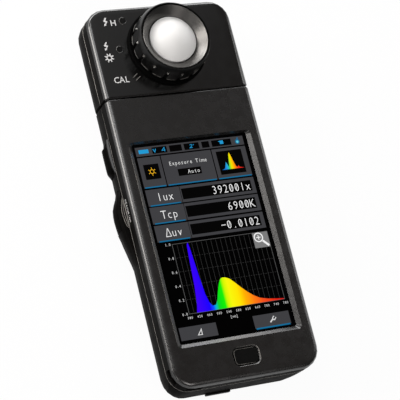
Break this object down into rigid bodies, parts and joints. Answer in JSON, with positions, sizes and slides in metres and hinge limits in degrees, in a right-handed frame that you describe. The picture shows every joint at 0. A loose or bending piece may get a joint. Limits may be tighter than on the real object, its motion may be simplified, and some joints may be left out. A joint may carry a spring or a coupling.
{
  "type": "handheld spectrometer",
  "caption": "Handheld light spectrometer: slab body with a display, side keys and a battery door, and a swivelling head that carries a domed receptor in a turning ring.",
  "frame": {"origin": "on the flat back, on the centre line, at half of the overall length", "axes": "+X across to the right as seen from the front, +Y along the body towards the swivelling head, +Z out of the display side"},
  "size_m": [0.0769, 0.1838, 0.04],
  "materials": {
    "shell": "satin black moulded",
    "key": "satin black",
    "ring_plastic": "satin black",
    "rubber": "matte",
    "display": "glossy, black backed",
    "panel": "display module in a metal bezel",
    "sheet_metal": "plain",
    "steel": "plain",
    "brass": "turned",
    "contact": "plated",
    "board": "solder mask",
    "inner_plastic": "matte black",
    "cell": "plain wrapped battery cell",
    "dish": "turned, dark anodised",
    "dome": "translucent white",
    "clear": "polished",
    "optic": "coated"
  },
  "bodies": {
    "housing": {"front_shell": "shell", "rear_shell": "shell", "display_glass": "display", "lcd_module": "panel", "lcd_chassis": "sheet_metal", "main_board": "board", "shield_can": "sheet_metal", "backup_cell": "steel", "buzzer": "inner_plastic", "harness_connector": "inner_plastic", "cell_left": "cell", "cell_right": "cell", "battery_tray": "inner_plastic", "contact_bridge": "contact", "contact_left": "contact", "contact_right": "contact", "door_hinge_pin": "steel", "tripod_insert": "brass", "power_board": "board", "power_switch": "sheet_metal", "measure_switch": "sheet_metal", "memory_switch": "sheet_metal", "side_key_board": "board", "usb_port": "steel", "sync_terminal": "steel", "swivel_bush": "brass", "body_screw_1": "steel", "body_screw_2": "steel", "body_screw_3": "steel", "body_screw_4": "steel"},
    "head": {"head_front_shell": "shell", "head_rear_shell": "shell", "swivel_spindle": "steel", "swivel_clip": "steel", "head_harness": "inner_plastic", "head_screw_1": "steel", "head_screw_2": "steel", "receptor_base": "ring_plastic", "dome": "dome", "diffuser_plate": "dome", "light_pipe": "clear", "optical_bench": "inner_plastic", "bench_lid": "inner_plastic", "slit_plate": "steel", "fold_mirror": "optic", "collimating_mirror": "optic", "grating": "optic", "line_sensor": "inner_plastic", "head_board": "board"},
    "light_ring": {"ring_grip": "ring_plastic", "ring_dish": "dish", "shutter_disc": "inner_plastic"},
    "battery_door": {"battery_door": "shell"},
    "door_latch": {"door_latch": "key"},
    "terminal_cover": {"terminal_cover": "rubber"},
    "power_button": {"power_button": "key"},
    "measure_button": {"measure_button": "key"},
    "memory_button": {"memory_button": "key"}
  },
  "joints": [
    {"name": "head_swivel", "type": "hinge", "parent": "housing", "child": "head", "pos_m": [0, 0.046, 0.0135], "axis": [0, 1, 0], "range_deg": [-90, 180]},
    {"name": "light_ring_turn", "type": "hinge", "parent": "head", "child": "light_ring", "pos_m": [0, 0.0695, 0.03], "axis": [0, 0, 1], "range_deg": [-39, 37]},
    {"name": "battery_door_hinge", "type": "hinge", "parent": "housing", "child": "battery_door", "pos_m": [0, -0.02505, 0.0014], "axis": [1, 0, 0], "range_deg": [0, 100]},
    {"name": "door_latch_slide", "type": "slide", "parent": "housing", "child": "door_latch", "axis": [1, 0, 0], "range_m": [0, 0.003]},
    {"name": "terminal_cover_hinge", "type": "hinge", "parent": "housing", "child": "terminal_cover", "pos_m": [0.03605, -0.0015, 0.0143], "axis": [0, 0, -1], "range_deg": [0, 100]},
    {"name": "power_press", "type": "slide", "parent": "housing", "child": "power_button", "axis": [0, 0, -1], "range_m": [0, 0.0006], "stiffness_N_per_m": 400, "springref_m": -0.001},
    {"name": "measure_press", "type": "slide", "parent": "housing", "child": "measure_button", "axis": [1, 0, 0], "range_m": [0, 0.0012], "stiffness_N_per_m": 400, "springref_m": -0.001},
    {"name": "memory_press", "type": "slide", "parent": "housing", "child": "memory_button", "axis": [1, 0, 0], "range_m": [0, 0.0008], "stiffness_N_per_m": 400, "springref_m": -0.001}
  ]
}
